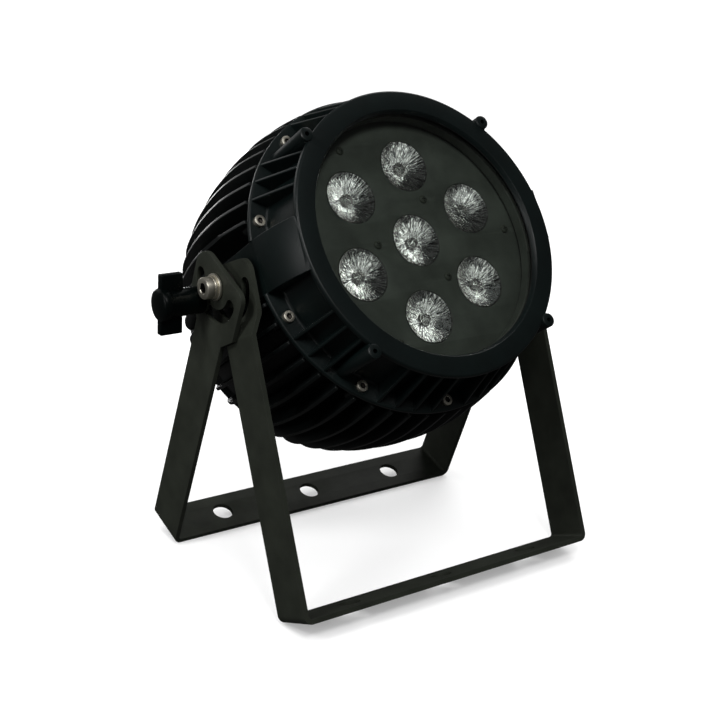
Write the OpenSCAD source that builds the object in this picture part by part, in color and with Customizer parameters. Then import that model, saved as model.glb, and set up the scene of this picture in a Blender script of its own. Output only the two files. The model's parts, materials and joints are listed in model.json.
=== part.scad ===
// Outdoor LED par can light on a double yoke.
// Millimetres, +Z up. The light stands on its two yoke brackets, with the
// origin on the floor below the middle of the object.
// The head frame has its Z along the optical axis and its origin just below the pivot.

/* [Head] */
// Tilt of the optical axis above the horizon, in degrees
tilt = 35.3; // [20:0.1:45]
// Drop of the optical axis below the pivot
axis_drop = 2.3; // [0:0.1:3]
// Radius of the bezel ring
bezel_r = 90.6; // [88:0.1:92]
// Distance from the pivot to the front face of the bezel
bezel_z = 63.5; // [60:0.5:66]
// Radius of the clear window inside the bezel
window_r = 76.5; // [74:0.5:77]
// Radius of the bolted flange
flange_r = 101.8; // [100.5:0.1:102.4]
// Distance from the pivot to the front face of the flange
flange_z = 27.7; // [26:0.1:29]
// Number of screws around the flange
screw_count = 10; // [10:1:10]
// Radius of the flange screw circle
screw_ring_r = 95.3; // [94.5:0.1:96]
// Radius of the circle of filter lugs
lug_ring_r = 93.2; // [92.5:0.1:94]

/* [Optics] */
// Radius of the ring of six outer lenses
lens_ring_r = 48.4; // [46:0.1:49]
// Radius of one lens
lens_r = 16.5; // [14:0.1:18]
// Turn of the lens ring about the optical axis, in degrees
lens_turn = -10; // [-15:1:15]
// Distance from the pivot to the front of the lenses
lens_z = 47.9; // [46:0.1:50]

/* [Heat sink] */
// Number of radial cooling fins
fin_count = 50; // [50:1:50]
// Thickness of a cooling fin
fin_t = 2.2; // [1.6:0.1:2.6]
// Radius over the fins at their widest
sink_r = 107.4; // [106:0.1:107.6]
// Distance behind the pivot of the rear ends of the fins
sink_back = 107; // [100:1:110]

/* [Yoke brackets] */
// Thickness of the steel strip
strip_t = 3; // [2.5:0.1:3]
// Width of the steel strip
strip_w = 30; // [28:0.5:31]
// Half the outside width of the rear bracket
rear_half_w = 114.3; // [114.3:0.1:115]
// Lean of the rear bracket behind the vertical, in degrees
rear_lean = 19; // [15:0.1:25]
// Length of the rear bracket from pivot to sole
rear_len = 190; // [180:1:200]
// Lean of the front bracket ahead of the vertical, in degrees
front_lean = 23.8; // [20:0.1:30]
// Diameter of the clamp holes in the soles
clamp_hole_d = 13.5; // [10:0.1:14]
// Spacing of the clamp holes
clamp_pitch = 70; // [60:0.5:72]

/* [Clamp knobs] */
// Radius of the arc slot that the knob stud runs in
slot_r = 17.8; // [17:0.1:18]
// Diameter of the knob stud
stud_d = 8; // [6:0.1:8]
// Length of the knob wing
wing_len = 36.6; // [30:0.1:40]

/* [Hidden] */

// Clearance between pieces that move past each other.
gap = 0.3;
// Overcut that carries a cut clean through a face.
over = 1;
smooth = 96;
bore_fn = 32;

// ---- placement ---------------------------------------------------------------
// The front bracket is as long as it takes for both soles to touch the floor.
leg_shift_rear = -2.8;
leg_shift_front = -9.1;
pivot_h = rear_len * cos(rear_lean) - (leg_shift_rear - strip_w / 2) * sin(rear_lean);
front_len = (pivot_h - (leg_shift_front + strip_w / 2) * sin(front_lean))
    / cos(front_lean);
// Fore and aft reach of the head, which centre the origin below the object.
fin_end_reach = 72.1;
reach_front = bezel_z * cos(tilt) + (bezel_r + axis_drop) * sin(tilt);
reach_back = sink_back * cos(tilt) + (fin_end_reach - axis_drop) * sin(tilt);
pivot_y = (reach_front - reach_back) / 2;

module at_pivot() {
    translate([0, pivot_y, pivot_h]) children();
}

// The head frame: X stays, Y runs up the lens face, Z along the optical axis.
module head() {
    at_pivot() rotate([90 - tilt, 0, 0]) translate([0, -axis_drop, 0]) children();
}

// From the head frame back up to the pivot.
module lifted() {
    translate([0, axis_drop, 0]) children();
}

module both_sides() {
    children();
    mirror([1, 0, 0]) children();
}

// Copies on a circle about the optical axis.
module ring_of(count, radius, start = 0) {
    for (i = [0 : count - 1])
        rotate([0, 0, start + i * 360 / count]) translate([radius, 0, 0]) children();
}

module tube(r_out, r_in, h) {
    difference() {
        cylinder(r = r_out, h = h, $fn = smooth);
        translate([0, 0, -over]) cylinder(r = r_in, h = h + 2 * over, $fn = smooth);
    }
}

// A cylinder whose axis is X, from x0 to x1.
module rod_x(d, x0, x1, fn = bore_fn) {
    translate([x0, 0, 0]) rotate([0, 90, 0]) cylinder(d = d, h = x1 - x0, $fn = fn);
}

// Points of an arc about (cx, cy).
function arc_points(cx, cy, r, a0, a1, steps = 5) =
    [for (i = [0 : steps]) let (a = a0 + (a1 - a0) * i / steps)
        [cx + r * cos(a), cy + r * sin(a)]];

// ---- yoke brackets -------------------------------------------------------------
bend_r = 5;
hub_bore_d = 8.6;
slot_w = stud_d + 2 * gap;
slot_half_angle = 82.5;
slot_long_angle = 105;
front_half_w = rear_half_w - strip_t - gap;
joggle = 5.8;
joggle_top = -20;
joggle_low = -33;

// Outside of one leg seen along Y, from the bend up: the joggle sets the ear in.
function leg_outside(half_w, len, inset, top) = concat(
    arc_points(half_w - bend_r, bend_r - len, bend_r, -90, 0),
    [[half_w, joggle_low], [half_w - inset, joggle_top], [half_w - inset, top]]);

function leg_inside(half_w, len, inset, top) = concat(
    [[half_w - inset - strip_t, top], [half_w - inset - strip_t, joggle_top - 1],
     [half_w - strip_t, joggle_low - 1]],
    arc_points(half_w - bend_r, bend_r - len, bend_r - strip_t, 0, -90));

function other_side(points) =
    [for (i = [len(points) - 1 : -1 : 0]) [-points[i][0], points[i][1]]];

// The whole strip seen along Y.
module strip_path(half_w, len, inset, top) {
    right = concat(leg_outside(half_w, len, inset, top), leg_inside(half_w, len, inset, top));
    polygon(concat(right, other_side(right)));
}

// An arc slot about the pivot, between two angles from straight down the leg.
module arc_slot(a0, a1, half_w) {
    rotate([90, 0, 90]) translate([0, 0, -half_w - over]) {
        rotate([0, 0, a0 - 90]) rotate_extrude(angle = a1 - a0, $fn = smooth)
            translate([slot_r - slot_w / 2, 0]) square([slot_w, 2 * (half_w + over)]);
        for (a = [a0, a1])
            rotate([0, 0, a - 90]) translate([slot_r, 0, 0])
                cylinder(d = slot_w, h = 2 * (half_w + over), $fn = bore_fn);
    }
}

module bracket(half_w, len, inset, top, shift, outline, a0, a1) {
    difference() {
        intersection() {
            rotate([90, 0, 0]) translate([0, 0, -40]) linear_extrude(80)
                strip_path(half_w, len, inset, top);
            rotate([90, 0, 90]) translate([0, 0, -half_w - over])
                linear_extrude(2 * (half_w + over)) polygon(outline);
        }
        rod_x(hub_bore_d, -half_w - over, half_w + over);
        arc_slot(a0, a1, half_w);
        for (i = [-1 : 1])
            translate([i * clamp_pitch, shift, -len - over])
                cylinder(d = clamp_hole_d, h = strip_t + 2 * over, $fn = bore_fn);
    }
}

// Outline of the rear bracket seen along X: ear, shoulders and leg.
rear_ear_front = -27.5;
rear_ear_back = 25;
rear_outline = concat(
    [[leg_shift_rear - strip_w / 2, -rear_len - over],
     [leg_shift_rear + strip_w / 2, -rear_len - over],
     [leg_shift_rear + strip_w / 2, -31],
     [rear_ear_back, -15]],
    arc_points(rear_ear_back - 12, 2, 12, 0, 90),
    arc_points(rear_ear_front + 6, 5, 6, 97, 180),
    [[rear_ear_front, -20.5], [leg_shift_rear - strip_w / 2, -31]]);

front_ear_half = 25.6;
front_outline = concat(
    [[leg_shift_front - strip_w / 2, -front_len - over],
     [leg_shift_front + strip_w / 2, -front_len - over],
     [leg_shift_front + strip_w / 2, -36],
     [front_ear_half, -17]],
    arc_points(front_ear_half - 9, 3.7, 9, 0, 90),
    arc_points(-front_ear_half + 9, 3.7, 9, 90, 180),
    [[-front_ear_half, -18], [leg_shift_front - strip_w / 2, -24]]);

module rear_bracket() {
    color([0.13, 0.14, 0.12]) at_pivot() rotate([rear_lean, 0, 0])
        bracket(rear_half_w, rear_len, 0, 20, leg_shift_rear, rear_outline,
            -slot_half_angle, slot_half_angle);
}

module front_bracket() {
    color([0.13, 0.14, 0.12]) at_pivot() rotate([-front_lean, 0, 0])
        bracket(front_half_w, front_len, joggle, 20, leg_shift_front, front_outline,
            -slot_half_angle, slot_long_angle);
}

// ---- front housing ---------------------------------------------------------------
flange_t = 3.2;
flange_back = flange_z - flange_t;
housing_seal_t = 0.8;
bezel_t = 3.7;
glass_t = 4;
glass_r = 80;
lip_t = 3;
seal_t = 0.6;
glass_z = bezel_z - lip_t - seal_t - glass_t;
retainer_ring_r = 81.9;
barrel_front_r = 86;
barrel_back_r = 90;
barrel_in_r = 83.5;
block_face = 99.2;
block_half_h = 16.3;
block_back = -26;
// The knob stud sits behind the pivot, this many degrees below the line of the optical axis.
stud_lag = 3.7;
stud_z = -slot_r * cos(stud_lag);
stud_y = -slot_r * sin(stud_lag);
stud_shank_d = stud_d - 0.1;
m4_hole_d = 4.3;
m4_head_d = 7;
screw_start = 18;

module front_profile() {
    polygon([
        [barrel_in_r, flange_back], [flange_r - 0.6, flange_back],
        [flange_r, flange_back + 0.6], [flange_r, flange_z - 0.6],
        [flange_r - 0.6, flange_z], [barrel_back_r, flange_z],
        [barrel_front_r, bezel_z - bezel_t - 1], [bezel_r, bezel_z - bezel_t],
        [bezel_r, bezel_z - 0.8], [bezel_r - 0.8, bezel_z],
        [window_r + 2, bezel_z], [window_r, bezel_z - lip_t],
        [barrel_in_r - 2.6, bezel_z - lip_t],
        [barrel_in_r - 2.6, glass_z - 4.6], [barrel_in_r, glass_z - 4.6]]);
}

// Side block that carries the pivot screw and the knob stud. Its face curves in to the bezel.
module trunnion_block() {
    block_front = bezel_z - 0.8;
    rise = block_front - flange_z;
    drop = block_face - bezel_r + 0.6;
    ramp_end = 2 * atan(drop / rise);
    ramp_r = rise / sin(ramp_end);
    translate([0, block_half_h, 0]) rotate([90, 0, 0])
        linear_extrude(2 * block_half_h)
            polygon(concat(
                [[85.6, block_back], [block_face, block_back]],
                arc_points(block_face - ramp_r, flange_z, ramp_r, 0, ramp_end, 6),
                [[85.6, block_front]]));
}

module collar_fin() {
    translate([0, 0.9, 0]) rotate([90, 0, 0]) linear_extrude(1.8)
        polygon([[85, flange_z - over], [flange_r - 0.8, flange_z - over],
            [flange_r - 0.8, flange_z], [bezel_r - 0.5, bezel_z - bezel_t + 0.6],
            [85, bezel_z - bezel_t + 0.6]]);
}

module filter_lug() {
    cylinder(r = 4.4, h = bezel_z + 0.9 - flange_z + over, $fn = bore_fn);
    translate([-8, -4.4, 0]) cube([8, 8.8, bezel_z - 1 - flange_z + over]);
}

module front_housing() {
    color([0.12, 0.14, 0.14]) head() difference() {
        union() {
            rotate_extrude($fn = smooth) front_profile();
            lifted() both_sides() trunnion_block();
            for (k = [0 : 9]) for (j = [1 : 4]) {
                a = screw_start + 36 * k + 7.2 * j;
                at_block = abs(sin(a)) < 0.2;
                at_lug = abs(cos(2 * a)) < 0.08;
                if (!at_block && !at_lug) rotate([0, 0, a]) collar_fin();
            }
            translate([0, 0, flange_z - over]) ring_of(4, lug_ring_r, 45) filter_lug();
        }
        translate([0, 0, flange_back - over]) ring_of(screw_count, screw_ring_r, screw_start) {
            cylinder(d = m4_hole_d, h = flange_t + 2 * over, $fn = bore_fn);
            translate([0, 0, flange_t - 0.4]) cylinder(d = 8.4, h = 8, $fn = bore_fn);
        }
        translate([0, 0, bezel_z + 0.9 - 12]) ring_of(4, lug_ring_r, 45)
            cylinder(d = 3, h = 12 + over, $fn = bore_fn);
        translate([0, 0, glass_z - 4.6 - over]) ring_of(6, retainer_ring_r, 0)
            cylinder(d = 1.6, h = 5 + over, $fn = 16);
        // The housing seal lies in a groove where it passes the blocks.
        translate([0, 0, sink_front - 0.1]) tube(90.8, 87.2, housing_seal_t + 0.1);
        lifted() both_sides() {
            rod_x(8, 88, block_face + over);
            translate([0, stud_y, stud_z]) rod_x(stud_d, 88, block_face + over);
            translate([block_face, -block_half_h, block_back])
                cube([5, 2 * block_half_h, flange_z - block_back + over]);
        }
    }
}

module flange_screws() {
    color("silver") head() translate([0, 0, flange_z - 1.4])
        ring_of(screw_count, screw_ring_r, screw_start) difference() {
            union() {
                cylinder(d = m4_head_d, h = 4, $fn = bore_fn);
                translate([0, 0, -12]) cylinder(d = 4, h = 12.5, $fn = bore_fn);
            }
            translate([0, 0, 1.8]) cylinder(d = 3.4, h = 3, $fn = 6);
        }
}

module housing_seal() {
    color([0.05, 0.05, 0.05]) head() translate([0, 0, sink_front])
        tube(90.5, 87.5, housing_seal_t);
}

// ---- window -------------------------------------------------------------------------
module glass_seal() {
    color([0.04, 0.04, 0.04]) head() translate([0, 0, glass_z + glass_t])
        tube(glass_r, window_r, seal_t);
}

module front_glass() {
    color([0.75, 0.8, 0.8, 0.35]) head() translate([0, 0, glass_z])
        cylinder(r = glass_r, h = glass_t, $fn = smooth);
}

retainer_t = 2;
module glass_retainer() {
    color([0.2, 0.2, 0.2]) head() translate([0, 0, glass_z - 4.6 - retainer_t]) {
        difference() {
            union() {
                tube(83.2, 77, retainer_t);
                translate([0, 0, retainer_t - 0.1]) tube(79.6, 77, 4.7);
            }
            translate([0, 0, -over]) ring_of(6, retainer_ring_r, 0)
                cylinder(d = 1.8, h = retainer_t + 2 * over, $fn = 16);
        }
    }
}

module retainer_screws() {
    color("silver") head() translate([0, 0, glass_z - 4.6 - retainer_t - 1.2])
        ring_of(6, retainer_ring_r, 0) {
            cylinder(d = 3, h = 1.2, $fn = 16);
            cylinder(d = 1.6, h = 6, $fn = 16);
        }
}

// ---- optics ----------------------------------------------------------------------------
plate_z = lens_z - 2.4;
plate_t = 2;
board_z = 27.6;
board_t = 2;
chip_t = 0.9;
lens_spots = concat([[0, 0]], [for (i = [0 : 5])
    lens_ring_r * [cos(lens_turn + 30 + 60 * i), sin(lens_turn + 30 + 60 * i)]]);
inner_pillar_r = 29;
outer_pillar_r = 70;

module pillar_spots() {
    for (i = [0 : 2]) {
        rotate([0, 0, lens_turn + 60 + 10 + 120 * i])
            translate([inner_pillar_r, 0, 0]) children();
        rotate([0, 0, lens_turn + 10 + 120 * i])
            translate([outer_pillar_r, 0, 0]) children();
    }
}

module lens_plate() {
    color([0.1, 0.1, 0.1]) head() difference() {
        translate([0, 0, plate_z]) cylinder(r = 82.4, h = plate_t, $fn = smooth);
        for (s = lens_spots)
            translate([s[0], s[1], plate_z - over])
                cylinder(r = lens_r + 0.2, h = plate_t + 2 * over, $fn = 48);
        translate([0, 0, plate_z - over]) pillar_spots()
            cylinder(d = 3.2, h = plate_t + 2 * over, $fn = 16);
    }
}

module lens_plate_screws() {
    color([0.15, 0.15, 0.15]) head() translate([0, 0, plate_z - 5]) pillar_spots() {
        cylinder(d = 3, h = 5 + plate_t, $fn = 16);
        translate([0, 0, 5 + plate_t]) cylinder(d = 5.2, h = 1.5, $fn = 16);
    }
}

module lens_plate_pillars() {
    color("silver") head() translate([0, 0, board_z]) pillar_spots() difference() {
        cylinder(d = 6, h = plate_z - board_z, $fn = 24);
        translate([0, 0, plate_z - board_z - 5]) cylinder(d = 3, h = 5 + over, $fn = 16);
    }
}

// A collimator lens: a cone that widens from the chip to its front face.
module collimator(i) {
    s = lens_spots[i];
    foot = board_z + 3.4;
    color([0.85, 0.88, 0.9, 0.6]) head() translate([s[0], s[1], 0])
        rotate_extrude($fn = 48) polygon([
            [0, foot + 2], [2.6, foot + 1.6], [2.8, foot], [5, foot], [9.5, foot + 5],
            [13, foot + 10], [lens_r - 0.5, lens_z - 1.6], [lens_r, lens_z - 1.5],
            [lens_r, lens_z], [4.2, lens_z], [3.4, lens_z - 2], [0, lens_z - 2.6]]);
}

module lens_1() { collimator(0); }
module lens_2() { collimator(1); }
module lens_3() { collimator(2); }
module lens_4() { collimator(3); }
module lens_5() { collimator(4); }
module lens_6() { collimator(5); }
module lens_7() { collimator(6); }

// A black cup that centres a lens over its chip.
module holder(i) {
    s = lens_spots[i];
    color([0.08, 0.08, 0.08]) head() translate([s[0], s[1], board_z])
        rotate_extrude($fn = 48) polygon([
            [4.4, 0], [12, 0], [lens_r + 0.4, 13], [lens_r + 0.4, plate_z - board_z - 0.2],
            [lens_r, plate_z - board_z - 0.2], [lens_r - 0.3, 15.3], [10.1, 7.6], [6, 3.2],
            [4.4, 3.2]]);
}

module lens_holder_1() { holder(0); }
module lens_holder_2() { holder(1); }
module lens_holder_3() { holder(2); }
module lens_holder_4() { holder(3); }
module lens_holder_5() { holder(4); }
module lens_holder_6() { holder(5); }
module lens_holder_7() { holder(6); }

module led_chips() {
    color([0.95, 0.85, 0.4]) head() for (s = lens_spots)
        translate([s[0] - 2.5, s[1] - 2.5, board_z]) cube([5, 5, chip_t]);
}

module led_board() {
    color([0.85, 0.85, 0.85]) head() translate([0, 0, board_z - board_t])
        cylinder(r = 76, h = board_t, $fn = smooth);
}

module thermal_pad() {
    color([0.5, 0.55, 0.7]) head() translate([0, 0, board_z - board_t - 0.6])
        cylinder(r = 75, h = 0.6, $fn = smooth);
}

// ---- heat sink ------------------------------------------------------------------------
deck_z = board_z - board_t - 0.6;
deck_t = 8;
sink_front = flange_back - housing_seal_t;
core_wall = 3;
cover_z = -92;
cover_open_r = 56;
ear_sweep_r = 41;
// The fins stop just short of the rim that takes the housing seal.
fin_front = sink_front - 0.5;
// Outer edge of a fin, as radius and distance along the axis.
fin_edge = [[102.8, fin_front], [105.2, 10], [106.8, -2], [sink_r, -14],
    [106.8, -30], [105, -46], [102, -62], [98.2, -76], [92.6, -88],
    [85.8, -97], [77.8, -103], [68.8, -sink_back]];
// The core closes in behind the fins like a bowl, with a wall of about 4 mm.
core_edge = [[90.5, sink_front], [88, 14], [88, -12], [89.5, -32], [89.5, -52], [88.7, -66],
    [87.5, -76], [86, -86], [80, -97], [73, -103]];
core_bore = [[66.5, cover_z + 4], [67.5, -98], [73, -97], [79, -90], [83, -78], [84.5, -62],
    [84.5, -42], [83, -32], [83, deck_z - deck_t]];
fin_root = [[64.5, -sink_back], [64.5, -103], [70, -101], [77, -96], [83, -87], [85.5, -75],
    [86.5, -60], [86.5, -42], [85, -32], [85, 14], [86.5, fin_front]];
// The core runs on behind the rear cover as a rim that joins the ends of the fins.
rim_back = sink_back - 2;
rim_in_r = 63.2;
rim_out_r = 66;

module sink_fin() {
    translate([0, fin_t / 2, 0]) rotate([90, 0, 0]) linear_extrude(fin_t)
        polygon(concat(fin_edge, fin_root));
}

module heat_sink() {
    color([0.07, 0.08, 0.08]) head() difference() {
        union() {
            rotate_extrude($fn = smooth) polygon(concat(core_edge,
                [[rim_out_r, -rim_back], [rim_in_r, -rim_back], [rim_in_r, cover_z],
                 [cover_open_r, cover_z], [cover_open_r, cover_z + 4]], core_bore,
                [[0, deck_z - deck_t], [0, deck_z], [82, deck_z], [82, sink_front]]));
            for (i = [0 : fin_count - 1])
                rotate([0, 0, screw_start + i * 360 / fin_count]) sink_fin();
            translate([0, 0, sink_front - 11])
                ring_of(screw_count, screw_ring_r, screw_start)
                    cylinder(d = 7.6, h = 11, $fn = bore_fn);
        }
        lifted() both_sides() translate([85.2, -block_half_h - 2, block_back - 2])
            cube([30, 2 * block_half_h + 4, 60]);
        // Room for the ears of the brackets to swing past the fins.
        lifted() both_sides() rod_x(2 * ear_sweep_r, ear_in - strip_t - 3 * gap, 130, smooth);
        translate([0, 0, sink_front - 10])
            ring_of(screw_count, screw_ring_r, screw_start)
                cylinder(d = 4.1, h = 10 + over, $fn = bore_fn);
        ring_of(8, 59.5, 22.5) translate([0, 0, cover_z - over])
            cylinder(d = 3.1, h = 4, $fn = 16);
    }
}

// ---- electronics -----------------------------------------------------------------------
driver_z = -4;
supply_h = 34;
supply_z = -62;

module driver_board() {
    color([0.1, 0.4, 0.2]) head() translate([0, 0, driver_z]) {
        translate([-50, -40, 0]) cube([100, 80, 1.6]);
        translate([-30, -25, 1.5]) cube([22, 22, 9]);
        translate([8, -20, 1.5]) cube([28, 14, 7]);
        for (i = [0 : 3]) translate([-36 + 22 * i, 22, 1.5])
            cylinder(d = 10, h = 11, $fn = 24);
    }
}

module power_supply() {
    color([0.7, 0.7, 0.7]) head() translate([-45, -32, supply_z])
        cube([90, 64, supply_h]);
}

module supply_pillars() {
    color("silver") head() both_sides() for (y = [-24, 24])
        translate([38, y, supply_z + supply_h])
            cylinder(d = 6, h = driver_z - supply_z - supply_h, $fn = 24);
}

module board_pillars() {
    color("silver") head() both_sides() for (y = [-34, 34])
        translate([44, y, driver_z + 1.6])
            cylinder(d = 6, h = deck_z - deck_t - driver_z - 1.6, $fn = 24);
}

// ---- rear cover --------------------------------------------------------------------------
cover_t = 3;
cover_r = 62.4;
cover_face = cover_z - 1 - cover_t;
button_x = [-27, -9, 9, 27];
button_y = -4;
button_d = 9;
power_socket_x = 30;
data_socket_x = 11;
socket_y = -33;
display_w = 44;
display_h = 20;
display_y = 20;
eye_x = 0;
eye_y = 40;
eye_drop = 17.5;

module rear_cover_seal() {
    color([0.05, 0.05, 0.05]) head() translate([0, 0, cover_z - 1])
        difference() {
            tube(62.4, 56.5, 1);
            translate([0, 0, -over]) ring_of(8, 59.5, 22.5)
                cylinder(d = 3.4, h = 3, $fn = 16);
        }
}

module rear_cover() {
    color([0.09, 0.1, 0.1]) head() translate([0, 0, cover_face]) difference() {
        cylinder(r = cover_r, h = cover_t, $fn = smooth);
        translate([0, 0, -over]) {
            ring_of(8, 59.5, 22.5) cylinder(d = 3.4, h = cover_t + 2 * over, $fn = 16);
            translate([-display_w / 2, display_y - display_h / 2, 0])
                cube([display_w, display_h, cover_t + 2 * over]);
            for (x = button_x) translate([x, button_y, 0])
                cylinder(d = button_d + 2 * gap, h = cover_t + 2 * over, $fn = bore_fn);
            for (x = [-power_socket_x, power_socket_x]) translate([x, socket_y, 0])
                cylinder(d = 16.4, h = cover_t + 2 * over, $fn = bore_fn);
            for (x = [-data_socket_x, data_socket_x]) translate([x, socket_y - 8, 0])
                cylinder(d = 14.4, h = cover_t + 2 * over, $fn = bore_fn);
            translate([44, 22, 0]) cylinder(d = 8.4, h = cover_t + 2 * over, $fn = bore_fn);
            translate([eye_x, eye_y, 0])
                cylinder(d = 6.4, h = cover_t + 2 * over, $fn = bore_fn);
        }
    }
}

module rear_cover_screws() {
    color("silver") head() ring_of(8, 59.5, 22.5) translate([0, 0, cover_face - 1.8]) {
        cylinder(d = 4.8, h = 1.8, $fn = 24);
        cylinder(d = 3, h = 8, $fn = 16);
    }
}

module display_window() {
    color([0.05, 0.08, 0.1]) head()
        translate([-display_w / 2, display_y - display_h / 2, cover_face + 0.4])
            cube([display_w, display_h, cover_t - 0.4]);
}

module display_board() {
    color([0.1, 0.35, 0.2]) head() translate([-36, -14, cover_face + 7])
        cube([72, 48, 1.6]);
}

module button(x) {
    color([0.2, 0.2, 0.2]) head() translate([x, button_y, cover_face - 2.6]) {
        cylinder(d = button_d, h = 7.2, $fn = bore_fn);
        translate([0, 0, 5.9]) cylinder(d = button_d + 3, h = 1.4, $fn = bore_fn);
    }
}

module button_menu() { button(button_x[0]); }
module button_down() { button(button_x[1]); }
module button_up() { button(button_x[2]); }
module button_enter() { button(button_x[3]); }

// A sealed chassis socket: hex flange outside, hollow mouth, nut inside.
module socket(x, y, d) {
    color([0.1, 0.1, 0.1]) head() translate([x, y, cover_face]) difference() {
        union() {
            translate([0, 0, -10]) cylinder(d = d + 1, h = 10, $fn = bore_fn);
            translate([0, 0, -3]) cylinder(d = d + 5, h = 3, $fn = 6);
            translate([0, 0, -0.5]) cylinder(d = d, h = 14, $fn = bore_fn);
        }
        translate([0, 0, -10 - over]) cylinder(d = d - 3, h = 8 + over, $fn = bore_fn);
    }
}

module power_inlet() { socket(-power_socket_x, socket_y, 16); }
module power_outlet() { socket(power_socket_x, socket_y, 16); }
module data_inlet() { socket(-data_socket_x, socket_y - 8, 14); }
module data_outlet() { socket(data_socket_x, socket_y - 8, 14); }

module vent_plug() {
    color([0.3, 0.3, 0.3]) head() translate([44, 22, cover_face]) {
        translate([0, 0, -3]) cylinder(d = 12, h = 3, $fn = bore_fn);
        translate([0, 0, -0.5]) cylinder(d = 8, h = 6, $fn = bore_fn);
    }
}

// Steel loop for a safety wire, with a threaded shank through the cover.
eye_bore_d = 12;
module safety_eye() {
    color("silver") head() translate([eye_x, eye_y, cover_face]) {
        translate([0, 0, -2]) cylinder(d = 12, h = 2, $fn = bore_fn);
        translate([0, 0, -0.5]) cylinder(d = 6, h = 9, $fn = bore_fn);
        translate([0, 0, cover_t]) cylinder(d = 10, h = 4, $fn = 6);
        translate([0, 0, -eye_drop + eye_bore_d / 2 + 1])
            cylinder(d = 8, h = eye_drop - eye_bore_d / 2 - 2, $fn = bore_fn);
        translate([-2.5, 0, -eye_drop]) rotate([0, 90, 0]) difference() {
            cylinder(d = eye_bore_d + 8, h = 5, $fn = 48);
            translate([0, 0, -over]) cylinder(d = eye_bore_d, h = 5 + 2 * over, $fn = 48);
        }
    }
}

// ---- pivots ---------------------------------------------------------------------------------
ear_out = rear_half_w;
ear_in = front_half_w - joggle;
washer_t = 1.6;
spring_t = 2;
cap_head_h = 5;

module pivot_screws() {
    color("silver") at_pivot() both_sides() {
        x0 = ear_out + gap + washer_t + spring_t;
        difference() {
            union() {
                rod_x(8, 88, x0 + 0.5);
                rod_x(13, x0, x0 + cap_head_h);
            }
            rotate([tilt, 0, 0]) rod_x(6.9, x0 + 1.4, x0 + cap_head_h + over, 6);
        }
    }
}

module spring_washers() {
    color("silver") at_pivot() both_sides() difference() {
        rod_x(13.6, ear_out + gap + washer_t, ear_out + gap + washer_t + spring_t);
        rod_x(8.2, ear_out, ear_out + 8);
    }
}

module flat_washers() {
    color("silver") at_pivot() both_sides() difference() {
        rod_x(16, ear_out + gap, ear_out + gap + washer_t);
        rod_x(8.2, ear_out, ear_out + 8);
    }
}

module inner_friction_discs() {
    color([0.1, 0.1, 0.1]) at_pivot() both_sides() difference() {
        rod_x(22, block_face, ear_in - strip_t - gap);
        rod_x(8.2, 90, 110);
    }
}

module outer_friction_discs() {
    color([0.1, 0.1, 0.1]) at_pivot() both_sides() difference() {
        rod_x(16, ear_in + gap, rear_half_w - strip_t - gap);
        rod_x(8.6, 100, 120);
    }
}

// ---- knobs ------------------------------------------------------------------------------------
knob_x = ear_out + gap + washer_t;
hub_d = 16.4;
boss_d = 19.6;
boss_x0 = 23;
boss_x1 = 27.2;
knob_len = 29.4;
wing_x0 = 13.2;
wing_w = 14.3;
wing_t = 5;

module at_stud() {
    at_pivot() rotate([90 - tilt, 0, 0]) translate([0, stud_y, stud_z])
        rotate([tilt - 90, 0, 0]) children();
}

module wing_knob() {
    difference() {
        union() {
            rod_x(hub_d, knob_x, knob_x + boss_x0 + over);
            rod_x(boss_d, knob_x + boss_x0, knob_x + boss_x1);
            rod_x(boss_d - 6, knob_x + boss_x1 - over, knob_x + knob_len);
            translate([knob_x + wing_x0, -wing_t / 2, -wing_len / 2])
                cube([wing_w, wing_t, wing_len]);
        }
        rod_x(stud_shank_d, knob_x - over, knob_x + 16);
    }
}

module knob_left() {
    color([0.05, 0.05, 0.05]) at_stud() mirror([1, 0, 0]) wing_knob();
}

module knob_right() {
    color([0.05, 0.05, 0.05]) at_stud() wing_knob();
}

module knob_stud() {
    rod_x(stud_shank_d, block_face - 9, knob_x + 16);
}

module knob_stud_left() {
    color("silver") at_stud() mirror([1, 0, 0]) knob_stud();
}

module knob_stud_right() {
    color("silver") at_stud() knob_stud();
}

module knob_washer() {
    difference() {
        rod_x(15.6, ear_out + gap, ear_out + gap + washer_t);
        rod_x(8.2, ear_out, ear_out + 8);
    }
}

module knob_washer_left() {
    color([0.1, 0.1, 0.1]) at_stud() mirror([1, 0, 0]) knob_washer();
}

module knob_washer_right() {
    color([0.1, 0.1, 0.1]) at_stud() knob_washer();
}

rear_bracket();
front_bracket();
front_housing();
heat_sink();
housing_seal();
flange_screws();
front_glass();
glass_seal();
glass_retainer();
retainer_screws();
lens_plate();
lens_plate_screws();
lens_plate_pillars();
lens_1();
lens_2();
lens_3();
lens_4();
lens_5();
lens_6();
lens_7();
lens_holder_1();
lens_holder_2();
lens_holder_3();
lens_holder_4();
lens_holder_5();
lens_holder_6();
lens_holder_7();
led_chips();
led_board();
thermal_pad();
driver_board();
power_supply();
supply_pillars();
board_pillars();
rear_cover();
rear_cover_seal();
rear_cover_screws();
display_window();
display_board();
button_menu();
button_down();
button_up();
button_enter();
power_inlet();
power_outlet();
data_inlet();
data_outlet();
vent_plug();
safety_eye();
pivot_screws();
spring_washers();
flat_washers();
inner_friction_discs();
outer_friction_discs();
knob_left();
knob_right();
knob_stud_left();
knob_stud_right();
knob_washer_left();
knob_washer_right();
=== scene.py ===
import json
import math
import random

import bmesh
import bpy
from mathutils import Matrix, Vector
from mathutils.geometry import tessellate_polygon

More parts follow.
